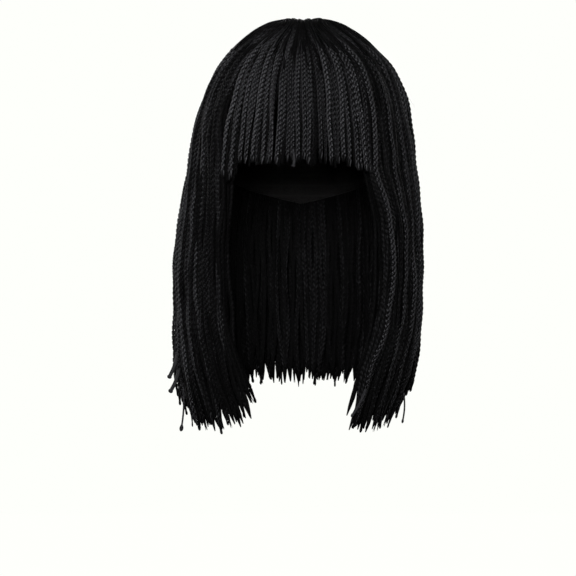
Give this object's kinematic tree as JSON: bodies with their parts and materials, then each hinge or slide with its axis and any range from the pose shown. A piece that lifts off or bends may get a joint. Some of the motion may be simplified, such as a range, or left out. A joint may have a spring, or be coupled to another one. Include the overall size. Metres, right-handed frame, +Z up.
{
  "type": "braid wig",
  "caption": "Shoulder-length wig of thin black braids with a straight fringe, a centre parting and long front sides, sewn to an open cap for a head.",
  "frame": {"origin": "inside of the cap at the top of the head, where the wig rests", "axes": "+Z up, the wig faces -Y, +X to the right of someone who looks at its face"},
  "size_m": [0.2153, 0.2117, 0.3503],
  "materials": {
    "braided_hair": "satin synthetic fibre, braided",
    "cap_net": "matt knitted net with sewn rows"
  },
  "bodies": {
    "root": {"cap": "cap_net", "fringe": "braided_hair", "left_side_locks": "braided_hair", "right_side_locks": "braided_hair", "back_locks": "braided_hair", "left_under_locks": "braided_hair", "right_under_locks": "braided_hair", "back_under_locks": "braided_hair"}
  },
  "joints": []
}
